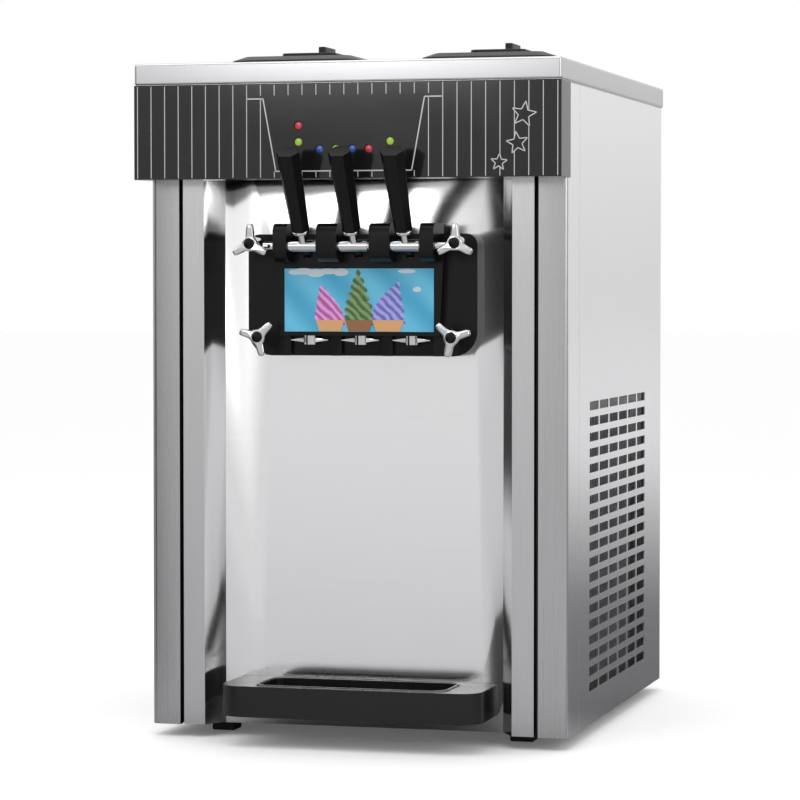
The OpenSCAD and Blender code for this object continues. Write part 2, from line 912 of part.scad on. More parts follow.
// Valve plunger: round stem in the bore and a head with a window for the lever's finger
module plunger(x)
{
    stem_z = head_low_z + 0.5;
    color("whitesmoke")
        at_floor_middle()
            translate([head_x + x, 0, 0])
                difference() {
                    union() {
                        rod_z(0, valve_y, stem_z, valve_r - fit, finger_z - plunger_head_h / 2 + 1 - stem_z);
                        box(-plunger_head_w / 2, plunger_head_w / 2,
                            valve_y - plunger_head_d / 2, valve_y + plunger_head_d / 2,
                            finger_z - plunger_head_h / 2, finger_z + plunger_head_h / 2);
                    }
                    box(-finger_w / 2 - 0.3, finger_w / 2 + 0.3, valve_y - plunger_head_d, valve_y + plunger_head_d,
                        finger_z - finger_r - window_gap, finger_z + finger_r + window_gap);
                }
}

module plunger_left() plunger(valve_x[0]);
module plunger_middle() plunger(valve_x[1]);
module plunger_right() plunger(valve_x[2]);

// Lever: hub on the shaft, rod with collar and tang for the grip, and finger into the plunger
module lever(x)
{
    color("silver")
        at_floor_middle()
            translate([head_x + x, shaft_y, shaft_z])
                difference() {
                    union() {
                        rod_x(-hub_w / 2, 0, 0, hub_r, hub_w);
                        rotate([lever_lean, 0, 0]) {
                            cylinder(r = 5, h = grip_start);
                            translate([0, 0, grip_start - collar_h])
                                cylinder(r = collar_r, h = collar_h);
                            cylinder(r = tang_r, h = grip_start + tang_l);
                        }
                        rotate([-finger_drop, 0, 0]) {
                            translate([-finger_w / 2, 0, -arm_t / 2])
                                cube([finger_w, finger_l, arm_t]);
                            rod_x(-finger_w / 2, finger_l, 0, finger_r, finger_w);
                        }
                    }
                    rod_x(-hub_w, 0, 0, shaft_r + fit, 2 * hub_w);
                }
}

module lever_left() lever(valve_x[0]);
module lever_middle() lever(valve_x[1]);
module lever_right() lever(valve_x[2]);

module grip(x)
{
    color("#222222")
        at_floor_middle()
            translate([head_x + x, shaft_y, shaft_z])
                rotate([lever_lean, 0, 0])
                    difference() {
                        translate([0, 0, grip_start])
                            cylinder(r1 = grip_low_r, r2 = grip_top_r, h = lever_l - grip_start, $fn = 6);
                        translate([0, 0, grip_start - 1])
                            cylinder(r = tang_r, h = tang_l + 1);
                    }
}

module grip_left() grip(valve_x[0]);
module grip_middle() grip(valve_x[1]);
module grip_right() grip(valve_x[2]);

module pivot_shaft()
{
    color("silver")
        at_floor_middle()
            difference() {
                rod_x(head_x - shaft_half_l, shaft_y, shaft_z, shaft_r, 2 * shaft_half_l);
                rod_y(head_x - shaft_half_l + 8, shaft_y - 10, shaft_z, 1.8, 20);
            }
}

// ---- star knobs ----

module knob_studs()
{
    color("silver")
        at_floor_middle()
            for (side = [-1, 1]) {
                rod_y(head_x + side * knob_upper_x, flange_y - upper_stem - 2, knob_upper_z, stud_r,
                    cylinder_y - flange_y + upper_stem + 2);
                rod_y(head_x + side * knob_lower_x, flange_y - lower_stem - 2, knob_lower_z, stud_r,
                    cylinder_y - flange_y + lower_stem + 2);
            }
}

// Three-armed knob: stem against the flange, arms in front; turn sets the first arm's direction
module knob(side, x, z, stem, turn)
{
    back_y = flange_y - 0.3;
    arm_y = flange_y - stem;
    color("lightgray")
        at_floor_middle()
            translate([head_x + side * x, 0, z])
                difference() {
                    union() {
                        rod_y(0, arm_y, 0, knob_hub_r - 1, back_y - arm_y);
                        rod_y(0, arm_y - knob_t, 0, knob_hub_r, knob_t + knob_hub_step);
                        for (a = [turn : 120 : turn + 240])
                            rotate([0, -a, 0])
                                upright(arm_y - knob_t + knob_arm_inset, arm_y)
                                    polygon([[0, -7.5], [knob_arm_l - 3, -5], [knob_arm_l, -3],
                                        [knob_arm_l, 3], [knob_arm_l - 3, 5], [0, 7.5]]);
                    }
                    rod_y(0, arm_y - 3, 0, stud_r + fit, stem + 10);
                    rod_y(0, arm_y - knob_t - 1, 0, knob_cap_r, knob_t - 3);
                }
}

module knob_cap(side, x, z, stem)
{
    front_y = flange_y - stem - knob_t;
    color("black")
        at_floor_middle() {
            rod_y(head_x + side * x, front_y - 1, z, knob_cap_r, knob_t - 3);
            translate([head_x + side * x, front_y - 1, z])
                rotate([90, 0, 0])
                    cylinder(r1 = knob_cap_r, r2 = knob_cap_r - 2.5, h = 1.5);
        }
}

module knob_upper_left() knob(-1, knob_upper_x, knob_upper_z, upper_stem, 90);
module knob_upper_right() knob(1, knob_upper_x, knob_upper_z, upper_stem, 90);
module knob_lower_left() knob(-1, knob_lower_x, knob_lower_z, lower_stem, 44);
module knob_lower_right() knob(1, knob_lower_x, knob_lower_z, lower_stem, 17);
module knob_cap_upper_left() knob_cap(-1, knob_upper_x, knob_upper_z, upper_stem);
module knob_cap_upper_right() knob_cap(1, knob_upper_x, knob_upper_z, upper_stem);
module knob_cap_lower_left() knob_cap(-1, knob_lower_x, knob_lower_z, lower_stem);
module knob_cap_lower_right() knob_cap(1, knob_lower_x, knob_lower_z, lower_stem);

// ---- drip tray ----

module drip_tray()
{
    back_y = recess_d - 0.3;
    basin_y0 = tray_front_y + 10;
    basin_y1 = back_y - 12;
    side_x = basin_half_w + 4;
    color("#2a2a2c")
        at_floor_middle()
            translate([head_x, 0, 0])
                difference() {
                    translate([0, 0, tray_z])
                        linear_extrude(height = tray_h)
                            polygon(rounded(-tray_half_w, tray_front_y, tray_half_w, back_y, 28, 0.5));
                    translate([0, 0, tray_z + tray_h - basin_h])
                        linear_extrude(height = basin_h + 1)
                            polygon(rounded(-basin_half_w, basin_y0, basin_half_w, basin_y1, 18, 18));
                    for (side = [-1, 1]) {
                        rod_y(side * peg_x, back_y - peg_l - 1, peg_z, peg_r + fit, peg_l + 2);
                        difference() {
                            box(min(side * side_x, side * (tray_half_w - 4)),
                                max(side * side_x, side * (tray_half_w - 4)),
                                tray_front_y + 26, back_y - 4, tray_z - 1, tray_z + tray_h - 4);
                            rod_y(side * peg_x, tray_front_y, peg_z, peg_r + 4, tray_d);
                        }
                    }
                }
}

module tray_pegs()
{
    color("silver")
        at_floor_middle()
            for (side = [-1, 1])
                rod_y(head_x + side * peg_x, recess_d - peg_l, peg_z, peg_r, peg_l + sheet_t + 4);
}

// ---- refrigeration and electrics on the base pan ----

floor_z = body_z + post_t;
compressor_x = -110;
compressor_y = 330;
compressor_h = 200;
condenser_x = 205;
condenser_w = 42;
condenser_h = 380;
condenser_l = 360;
condenser_y = 134;
fan_y = condenser_y + condenser_l / 2;
fan_z = 220;
fan_x = condenser_x - 38;

module compressor()
{
    dome = 40;
    color("#303034")
        at_floor_middle()
            translate([compressor_x, compressor_y, floor_z]) {
                translate([-compressor_r, -compressor_r, 0])
                    cube([2 * compressor_r, 2 * compressor_r, 4]);
                translate([0, 0, 4])
                    rotate_extrude()
                        polygon(concat([[0, 0], [compressor_r - 8, 0], [compressor_r, 8]],
                            [for (a = [0 : 10 : 80])
                                [compressor_r * cos(a), compressor_h - dome + dome * sin(a)]],
                            [[0, compressor_h - dome + dome * sin(80)]]));
                translate([compressor_r - 6, -18, compressor_h / 2 - 25])
                    cube([24, 36, 50]);
            }
}

module condenser()
{
    fin_count = 22;
    fin_t = 1.6;
    tube_r = 4.5;
    color("silver")
        at_floor_middle() {
            for (i = [0 : fin_count - 1])
                box(condenser_x, condenser_x + condenser_w,
                    condenser_y + i * (condenser_l - fin_t) / (fin_count - 1),
                    condenser_y + i * (condenser_l - fin_t) / (fin_count - 1) + fin_t,
                    floor_z, floor_z + condenser_h);
            for (z = [40 : 75 : condenser_h])
                rod_y(condenser_x + condenser_w / 2, condenser_y - 8, floor_z + z, tube_r, condenser_l + 16);
        }
}

module fan_motor()
{
    motor_r = 32;
    motor_l = 55;
    motor_x = fan_x - 4 - motor_l;
    color("#3a3a3e")
        at_floor_middle() {
            rod_x(motor_x, fan_y, fan_z, motor_r, motor_l);
            rod_x(motor_x + motor_l - 1, fan_y, fan_z, 4, 24);
            box(motor_x + 10, motor_x + 16, fan_y - 25, fan_y + 25, floor_z, fan_z - 20);
            box(motor_x - 20, motor_x + 40, fan_y - 40, fan_y + 40, floor_z, floor_z + 3);
        }
}

module fan_blade()
{
    hub_l = 18;
    blade_w = 56;
    blade_pitch = 22;
    blade_l = sqrt(pow(fan_r, 2) - pow(blade_w / 2, 2)) - 12;
    color("#2c2c30")
        at_floor_middle()
            translate([fan_x, fan_y, fan_z])
                difference() {
                    union() {
                        rod_x(0, 0, 0, 24, hub_l);
                        for (a = [0 : 72 : 288])
                            rotate([a, 0, 0])
                                translate([hub_l / 2, 0, 12])
                                    rotate([0, 0, blade_pitch])
                                        translate([-1.5, -blade_w / 2, 0])
                                            cube([3, blade_w, blade_l]);
                    }
                    rod_x(-20, 0, 0, 4 + fit, 60);
                }
}

module control_box()
{
    color("lightgray")
        at_floor_middle()
            box(-half_w + 20, -half_w + 110, body_d - 150, body_d - 40, floor_z, floor_z + 230);
}

// Cord gland through the rear panel: nut inside, collar outside
module power_gland()
{
    collar_t = 2;
    color("black")
        at_floor_middle()
            difference() {
                union() {
                    rod_y(gland_x, body_d - sheet_t - 20, gland_z, gland_hole_r, 20 + sheet_t + collar_t);
                    rod_y(gland_x, body_d, gland_z, gland_hole_r + 4, collar_t);
                    rod_y(gland_x, body_d - sheet_t - 6, gland_z, gland_hole_r + 4, 6);
                }
                rod_y(gland_x, body_d - sheet_t - 21, gland_z, 5.5, 40);
            }
}

base_pan();
feet();
chassis_frame();
front_columns();
front_panel();
left_side_panel();
right_side_panel();
rear_panel();
rear_screws();
top_cap();
header_box();
header_panel();
key_stop();
key_auto();
key_wash_left();
key_cool();
key_wash_right();
key_clear();
key_power();
key_board();
hoppers();
air_tubes();
lid_left();
lid_right();
freezing_cylinders();
foam_jacket();
seals();
beater_left();
beater_right();
gear_motors();
head_block();
picture_panel();
star_nozzles();
plunger_left();
plunger_middle();
plunger_right();
lever_left();
lever_middle();
lever_right();
grip_left();
grip_middle();
grip_right();
pivot_shaft();
knob_studs();
knob_upper_left();
knob_upper_right();
knob_lower_left();
knob_lower_right();
knob_cap_upper_left();
knob_cap_upper_right();
knob_cap_lower_left();
knob_cap_lower_right();
drip_tray();
tray_pegs();
compressor();
condenser();
fan_motor();
fan_blade();
control_box();
power_gland();
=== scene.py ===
import json
import math

import bmesh
import bpy
from mathutils import Matrix, Vector


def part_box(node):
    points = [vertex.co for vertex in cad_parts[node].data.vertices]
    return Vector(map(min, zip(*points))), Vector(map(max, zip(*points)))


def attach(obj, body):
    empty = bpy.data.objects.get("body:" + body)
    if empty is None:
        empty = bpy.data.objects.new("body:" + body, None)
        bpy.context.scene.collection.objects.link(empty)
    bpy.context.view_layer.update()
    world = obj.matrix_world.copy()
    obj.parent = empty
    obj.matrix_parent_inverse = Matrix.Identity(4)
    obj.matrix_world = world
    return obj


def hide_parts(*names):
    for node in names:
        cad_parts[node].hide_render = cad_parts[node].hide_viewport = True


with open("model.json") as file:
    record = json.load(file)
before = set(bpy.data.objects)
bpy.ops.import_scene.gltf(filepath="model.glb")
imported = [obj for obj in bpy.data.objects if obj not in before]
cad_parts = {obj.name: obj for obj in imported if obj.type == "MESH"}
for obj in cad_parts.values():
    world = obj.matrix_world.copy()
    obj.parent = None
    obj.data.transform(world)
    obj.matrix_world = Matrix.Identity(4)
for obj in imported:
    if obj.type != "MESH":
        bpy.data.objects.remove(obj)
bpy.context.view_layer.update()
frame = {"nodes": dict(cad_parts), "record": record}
nodes = frame["nodes"]
record = frame["record"]
slotOf = {s["node"]: s["material_slot"] for s in record["subparts"]}
bodyOf = {n: b for b, names in record["behaviour"]["bodies"].items() for n in names}
mm = 0.001  # the pieces' sizes are given in millimetres, the studio's in metres
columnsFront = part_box("front_columns")[0].y


def newGroup(name, inputs, outputs):
    group = bpy.data.node_groups.new(name, "ShaderNodeTree")
    for label, kind, value in inputs:
        socket = group.interface.new_socket(label, in_out="INPUT", socket_type=kind)
        socket.default_value = value
    for label, kind in outputs:
        group.interface.new_socket(label, in_out="OUTPUT", socket_type=kind)
    return group, group.nodes.new("NodeGroupInput"), group.nodes.new("NodeGroupOutput")


def mathNode(tree, operation, a, b=None):
    # a and b are each a number or another node's output
    node = tree.nodes.new("ShaderNodeMath")
    node.operation = operation
    for socket, value in zip(node.inputs, (a, b)):
        if value is None:
            continue
        if isinstance(value, (int, float)):
            socket.default_value = value
        else:
            tree.links.new(value, socket)
    return node.outputs[0]


surfaceOutputs = [("Color", "NodeSocketColor"), ("Roughness", "NodeSocketFloat"),
                  ("Height", "NodeSocketFloat")]


def makeBrushedGrain():
    # fine lines along one direction, set by how much each axis is stretched
    group, gIn, gOut = newGroup(
        "brushedGrain",
        [("Stretch", "NodeSocketVector", (900, 900, 8)),
         ("Base", "NodeSocketColor", (0.8, 0.8, 0.8, 1)),
         ("Roughness", "NodeSocketFloat", 0.25), ("Amount", "NodeSocketFloat", 0.5)],
        surfaceOutputs)
    link = group.links.new
    place = group.nodes.new("ShaderNodeTexCoord")
    scaled = group.nodes.new("ShaderNodeVectorMath")
    scaled.operation = "MULTIPLY"
    link(place.outputs["Object"], scaled.inputs[0])
    link(gIn.outputs["Stretch"], scaled.inputs[1])
    lines = group.nodes.new("ShaderNodeTexNoise")
    lines.inputs["Scale"].default_value = 1.0
    lines.inputs["Detail"].default_value = 4.0
    link(scaled.outputs[0], lines.inputs["Vector"])
    clouds = group.nodes.new("ShaderNodeTexNoise")
    clouds.inputs["Scale"].default_value = 5.0
    clouds.inputs["Detail"].default_value = 3.0
    link(place.outputs["Object"], clouds.inputs["Vector"])
    centred = mathNode(group, "SUBTRACT", lines.outputs["Fac"], 0.5)
    drift = mathNode(group, "SUBTRACT", clouds.outputs["Fac"], 0.5)
    both = mathNode(group, "ADD", centred, mathNode(group, "MULTIPLY", drift, 0.5))
    swing = mathNode(group, "MULTIPLY", both, gIn.outputs["Amount"])
    uneven = mathNode(group, "MULTIPLY", swing, 0.25)
    link(mathNode(group, "ADD", gIn.outputs["Roughness"], uneven), gOut.inputs["Roughness"])
    shade = group.nodes.new("ShaderNodeVectorMath")
    shade.operation = "SCALE"
    link(gIn.outputs["Base"], shade.inputs[0])
    level = mathNode(group, "MULTIPLY", swing, 0.18)
    link(mathNode(group, "ADD", 1.0, level), shade.inputs["Scale"])
    link(shade.outputs[0], gOut.inputs["Color"])
    link(lines.outputs["Fac"], gOut.inputs["Height"])
    return group


def makeMouldedSkin():
    # fine moulded or enamelled surface with slight wear on its edges
    group, gIn, gOut = newGroup(
        "mouldedSkin",
        [("Base", "NodeSocketColor", (0.1, 0.1, 0.1, 1)),
         ("Worn", "NodeSocketColor", (0.2, 0.2, 0.2, 1)),
         ("Roughness", "NodeSocketFloat", 0.4), ("Grain", "NodeSocketFloat", 1200.0)],
        surfaceOutputs)
    link = group.links.new
    place = group.nodes.new("ShaderNodeTexCoord")
    fine = group.nodes.new("ShaderNodeTexNoise")
    fine.inputs["Detail"].default_value = 3.0
    link(place.outputs["Object"], fine.inputs["Vector"])
    link(gIn.outputs["Grain"], fine.inputs["Scale"])
    broad = group.nodes.new("ShaderNodeTexNoise")
    broad.inputs["Scale"].default_value = 14.0
    broad.inputs["Detail"].default_value = 4.0
    link(place.outputs["Object"], broad.inputs["Vector"])
    edge = group.nodes.new("ShaderNodeNewGeometry")
    worn = group.nodes.new("ShaderNodeMapRange")
    worn.inputs["From Min"].default_value = 0.54
    worn.inputs["From Max"].default_value = 0.66
    worn.inputs["To Max"].default_value = 0.35
    link(edge.outputs["Pointiness"], worn.inputs["Value"])
    mix = group.nodes.new("ShaderNodeMix")
    mix.data_type = "RGBA"
    link(worn.outputs[0], mix.inputs[0])
    link(gIn.outputs["Base"], mix.inputs[6])
    link(gIn.outputs["Worn"], mix.inputs[7])
    link(mix.outputs[2], gOut.inputs["Color"])
    drift = mathNode(group, "SUBTRACT", broad.outputs["Fac"], 0.5)
    uneven = mathNode(group, "MULTIPLY", drift, 0.12)
    link(mathNode(group, "ADD", gIn.outputs["Roughness"], uneven), gOut.inputs["Roughness"])
    link(fine.outputs["Fac"], gOut.inputs["Height"])
    return group


brushedGrain = makeBrushedGrain()
mouldedSkin = makeMouldedSkin()


def startMaterial(name):
    material = bpy.data.materials.new(name)
    material.use_nodes = True
    tree = material.node_tree
    return material, tree, tree.nodes["Principled BSDF"]


def addBump(tree, shader, height, strength, distance):
    bump = tree.nodes.new("ShaderNodeBump")
    bump.inputs["Strength"].default_value = strength
    bump.inputs["Distance"].default_value = distance
    tree.links.new(height, bump.inputs["Height"])
    tree.links.new(bump.outputs["Normal"], shader.inputs["Normal"])


def metal(name, base, roughness, stretch, amount, bump=0.06):
    material, tree, shader = startMaterial(name)
    grain = tree.nodes.new("ShaderNodeGroup")
    grain.node_tree = brushedGrain
    grain.inputs["Stretch"].default_value = stretch
    grain.inputs["Base"].default_value = (*base, 1)
    grain.inputs["Roughness"].default_value = roughness
    grain.inputs["Amount"].default_value = amount
    shader.inputs["Metallic"].default_value = 1.0
    tree.links.new(grain.outputs["Color"], shader.inputs["Base Color"])
    tree.links.new(grain.outputs["Roughness"], shader.inputs["Roughness"])
    addBump(tree, shader, grain.outputs["Height"], bump, 0.00006)
    return material


def moulded(name, base, worn, roughness, grainScale=1200, bump=0.12, coat=0.0, metallic=0.0,
            specular=0.5):
    material, tree, shader = startMaterial(name)
    skin = tree.nodes.new("ShaderNodeGroup")
    skin.node_tree = mouldedSkin
    skin.inputs["Base"].default_value = (*base, 1)
    skin.inputs["Worn"].default_value = (*worn, 1)
    skin.inputs["Roughness"].default_value = roughness
    skin.inputs["Grain"].default_value = grainScale
    shader.inputs["Metallic"].default_value = metallic
    shader.inputs["Coat Weight"].default_value = coat
    shader.inputs["Specular IOR Level"].default_value = specular
    shader.inputs["Coat Roughness"].default_value = 0.06
    tree.links.new(skin.outputs["Color"], shader.inputs["Base Color"])
    tree.links.new(skin.outputs["Roughness"], shader.inputs["Roughness"])
    addBump(tree, shader, skin.outputs["Height"], bump, 0.0001)
    return material


alongZ, alongX = (1100, 1100, 7), (7, 1100, 1100)  # ways the steel is brushed
materials = {
    "steel_panel": metal("satinSteel", (0.50, 0.50, 0.505), 0.28, alongZ, 0.6, 0.03),
    "steel_mirror": metal("polishedSteel", (0.93, 0.93, 0.935), 0.14, alongX, 0.4, 0.02),
    "frame_steel": moulded("zincPaint", (0.36, 0.37, 0.38), (0.5, 0.5, 0.5), 0.45, 700,
                           metallic=0.6),
    "chrome": metal("chromePlate", (0.66, 0.66, 0.67), 0.06, (300, 300, 300), 0.15, 0.01),
    "header_black": moulded("glossCharcoal", (0.009, 0.009, 0.0095), (0.03, 0.03, 0.03), 0.11,
                            500, 0.01, 0.1, specular=0.42),
    "black_satin": moulded("blackSatin", (0.004, 0.004, 0.004), (0.012, 0.012, 0.012), 0.32,
                           900, 0.05, 0.0, specular=0.2),
    "lid_grey": moulded("lidGrey", (0.011, 0.011, 0.012), (0.03, 0.03, 0.03), 0.38, 900,
                        specular=0.32),
    "rubber": moulded("blackRubber", (0.012, 0.012, 0.012), (0.03, 0.03, 0.03), 0.62, 1500, 0.3),
    "foam": moulded("closedFoam", (0.03, 0.03, 0.032), (0.05, 0.05, 0.05), 0.85, 400, 0.6),
    "key_red": moulded("keyRed", (0.62, 0.02, 0.04), (0.7, 0.1, 0.1), 0.22, 600, 0.03, 0.5),
    "key_green": moulded("keyGreen", (0.38, 0.62, 0.03), (0.5, 0.7, 0.1), 0.22, 600, 0.03, 0.5),
    "key_blue": moulded("keyBlue", (0.02, 0.07, 0.42), (0.1, 0.15, 0.5), 0.22, 600, 0.03, 0.5),
    "board": moulded("boardGreen", (0.01, 0.09, 0.03), (0.05, 0.15, 0.05), 0.4, 400),
    "white_plastic": moulded("foodWhite", (0.78, 0.78, 0.75), (0.85, 0.85, 0.82), 0.35, 1000),
    "machine_grey": moulded("motorGrey", (0.10, 0.11, 0.12), (0.25, 0.25, 0.25), 0.45, 500, 0.3),
    "compressor_black": moulded("compressorEnamel", (0.015, 0.015, 0.017), (0.08, 0.08, 0.08),
                                0.33, 300, 0.2),
    "fins": metal("finAluminium", (0.72, 0.73, 0.74), 0.35, (400, 400, 40), 0.8),
}


def bandedMaterial(name, colours, scale, distortion, detail, roughness):
    # sloping bands that run between two colours
    material, tree, shader = startMaterial(name)
    place = tree.nodes.new("ShaderNodeTexCoord")
    bands = tree.nodes.new("ShaderNodeTexWave")
    bands.bands_direction = "DIAGONAL"
    bands.inputs["Scale"].default_value = scale
    bands.inputs["Distortion"].default_value = distortion
    bands.inputs["Detail"].default_value = detail
    tree.links.new(place.outputs["Object"], bands.inputs["Vector"])
    ramp = tree.nodes.new("ShaderNodeValToRGB")
    for stop, colour in zip(ramp.color_ramp.elements, colours):
        stop.color = (*colour, 1)
    tree.links.new(bands.outputs["Fac"], ramp.inputs["Fac"])
    tree.links.new(ramp.outputs["Color"], shader.inputs["Base Color"])
    shader.inputs["Roughness"].default_value = roughness
    return material


materials["picture"] = bandedMaterial("pictureSkyBands", ((0.06, 0.41, 0.65), (0.14, 0.56, 0.80)),
                                      9.0, 1.2, 1.0, 0.3)
paleCloud = moulded("paleCloud", (0.62, 0.72, 0.78), (0.62, 0.72, 0.78), 0.4, 60, 0.02)
paleInk = moulded("paleInk", (0.62, 0.62, 0.62), (0.62, 0.62, 0.62), 0.30, 600, 0.03)
# sheets of the same steel painted lighter or darker than the rest, as painted light and painted
# shade
sideSteelPaintedLight = metal("sideSteelPaintedLight", (0.97, 0.962, 0.97), 0.24, alongZ, 0.2, 0.01)
stripSteelPaintedLight = metal("stripSteelPaintedLight", (0.60, 0.60, 0.605), 0.24, alongZ, 0.6, 0.03)
capSteelPaintedLight = metal("capSteelPaintedLight", (0.57, 0.57, 0.58), 0.24, alongX, 0.4, 0.02)
trayBlack = moulded("trayBlack", (0.006, 0.006, 0.006), (0.014, 0.014, 0.014), 0.27, 900, 0.05,
                    specular=0.4)
# a dark material laid in grooves and recesses as painted shade
recessPaintedShade = moulded("recessPaintedShade", (0.01, 0.01, 0.01), (0.02, 0.02, 0.02), 0.5, 600)
lookOf = {n: materials[slotOf[n]] for n in nodes}
# the cap, side and rear sheets take copies of the steel painted lighter, as painted light
lookOf["top_cap"] = capSteelPaintedLight
lookOf["drip_tray"] = trayBlack
lookOf["left_side_panel"] = lookOf["right_side_panel"] = lookOf["rear_panel"] = sideSteelPaintedLight
for nodeName, cadObject in nodes.items():
    cadObject.data.materials.clear()
    cadObject.data.materials.append(lookOf[nodeName])
print("materials made", len(materials))


def finishPiece(name, bm, material, body, replaced=(), angle=32, bevel=None):
    # edges sharper than the angle stay crisp, and a bevel is a width and a number of segments
    mesh = bpy.data.meshes.new(name)
    bm.to_mesh(mesh)
    bm.free()
    mesh.shade_smooth()
    mesh.set_sharp_from_angle(angle=math.radians(angle))
    piece = bpy.data.objects.new(name, mesh)
    bpy.context.scene.collection.objects.link(piece)
    mesh.materials.append(material)
    if bevel:
        rounding = piece.modifiers.new("edgeRounding", "BEVEL")
        rounding.width, rounding.segments = bevel
        rounding.limit_method = "ANGLE"
        rounding.angle_limit = math.radians(40)
        rounding.harden_normals = True
    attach(piece, body)
    if replaced:
        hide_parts(*replaced)
    return piece


def mergedCopy(nodeName):
    # the node's triangles, merged and with flat regions made whole
    bm = bmesh.new()
    bm.from_mesh(nodes[nodeName].data)
    bmesh.ops.remove_doubles(bm, verts=bm.verts, dist=0.000005)
    bmesh.ops.dissolve_limit(bm, angle_limit=math.radians(0.5), verts=bm.verts, edges=bm.edges)
    return bm


edgeRounding = {
    # node: width and segments of the rounding on its sharp edges, in millimetres
    "front_columns": (0.4, 2), "front_panel": (0.4, 2), "rear_panel": (0.4, 2),
    "header_box": (0.8, 2), "lid_left": (1.2, 3), "lid_right": (1.2, 3), "feet": (2.0, 3),
    "head_block": (0.8, 2), "star_nozzles": (0.5, 2), "drip_tray": (1.6, 3),
    "pivot_shaft": (0.5, 2), "rear_screws": (0.6, 2), "power_gland": (0.6, 2),
    "lever_left": (0.4, 2), "lever_middle": (0.4, 2), "lever_right": (0.4, 2),
    "grip_left": (1.8, 4), "grip_middle": (1.8, 4), "grip_right": (1.8, 4),
    "hoppers": (0.4, 2), "air_tubes": (0.4, 2), "knob_studs": (0.5, 2), "tray_pegs": (0.6, 2),
    "plunger_left": (0.3, 2), "plunger_middle": (0.3, 2), "plunger_right": (0.3, 2),
    "header_panel": (0.5, 2), "compressor": (1.5, 2), "fan_motor": (0.8, 2),
    "control_box": (1.5, 2),
}
frontSheets = ("front_panel", "front_columns")
# groove beside each column, whose faces take painted shade: its middle and half width, how far
# behind the columns' front a face is still part of a strip, how far behind it one belongs to the
# groove, and the side's thickness
grooveLook = {"middle": 223.5, "halfWidth": 12, "stripDepth": 3, "grooveDepth": 0.5, "sideDepth": 1}


def sortFrontFaces(bm, look):
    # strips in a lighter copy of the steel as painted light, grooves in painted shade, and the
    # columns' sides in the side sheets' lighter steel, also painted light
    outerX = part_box("front_columns")[1].x
    grooveX = look["middle"] * mm
    for face in bm.faces:
        middle = face.calc_center_median()
        depth, sideways = middle.y - columnsFront, abs(middle.x)
        if abs(face.normal.y) > 0.7 and depth < look["stripDepth"] * mm and sideways < grooveX:
            face.material_index = 1
        # faces inside the groove take the dark material, painted shade
        elif abs(sideways - grooveX) < look["halfWidth"] * mm and depth > look["grooveDepth"] * mm:
            face.material_index = 2
        elif abs(face.normal.x) > 0.7 and sideways > outerX - look["sideDepth"] * mm:
            face.material_index = 3


for nodeName, (width, segments) in edgeRounding.items():
    bm = mergedCopy(nodeName)
    if nodeName in frontSheets:
        sortFrontFaces(bm, grooveLook)
    piece = finishPiece(nodeName + "_shown", bm, lookOf[nodeName], bodyOf[nodeName],
                        (nodeName,), bevel=(width * mm, segments))
    if nodeName in frontSheets:
        # extra materials: a lighter steel as painted light, a dark one as painted shade, and the
        # side sheets' lighter steel as painted light
        for extra in (stripSteelPaintedLight, recessPaintedShade, sideSteelPaintedLight):
            piece.data.materials.append(extra)
print("rounded pieces made", len(edgeRounding))

capShape = {"bendRadius": 3.2, "segments": 4}


def makeCap(shape):
    # only the outer bends are rounded, the sheet's own edges stay crisp
    low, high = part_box("top_cap")
    bm = mergedCopy("top_cap")
    near = 0.00002

    def onSide(p):
        return (abs(p.x - low.x) < near or abs(p.x - high.x) < near,
                abs(p.y - low.y) < near or abs(p.y - high.y) < near, abs(p.z - high.z) < near)

    outer = []
    for edge in bm.edges:
        a, b = (onSide(v.co) for v in edge.verts)
        shared = sum(1 for p, q in zip(a, b) if p and q)
        if shared >= 2:
            outer.append(edge)
    bmesh.ops.bevel(bm, geom=outer, offset=shape["bendRadius"] * mm, segments=shape["segments"],
                    affect="EDGES", profile=0.5, material=-1)
    # the cap takes the lighter copy of the steel, as painted light
    cap = finishPiece("topCapShown", bm, capSteelPaintedLight, "cabinet", ("top_cap",))
    cap.modifiers.new("flatNormals", "WEIGHTED_NORMAL").keep_sharp = True


makeCap(capShape)

knobShape = {"valleyRadius": 9.4, "tipRadius": 24.0, "armHalfWidth": 4.7, "thickness": 9.2,
             "rounding": 2.2, "points": 120, "stemRadius": 8.0, "backGap": 0.6,
             "domeRadius": 6.9, "domeFlatness": 0.55, "domeInset": 0.6,
             # degrees that each knob is turned at rest
             "turns": {"upper_left": 90, "upper_right": 90, "lower_left": 44, "lower_right": 17}}


def knobReach(angle, shape):
    # distance of the knob's outline from its middle: three blunt arms with hollows between them
    off = abs((angle + math.pi / 3) % (2 * math.pi / 3) - math.pi / 3)
    side = math.sin(off) / shape["armHalfWidth"]
    arm = ((side ** 6) + (1 / shape["tipRadius"]) ** 6) ** (-1 / 6)
    return min(shape["tipRadius"], (shape["valleyRadius"] ** 5 + arm ** 5) ** 0.2)


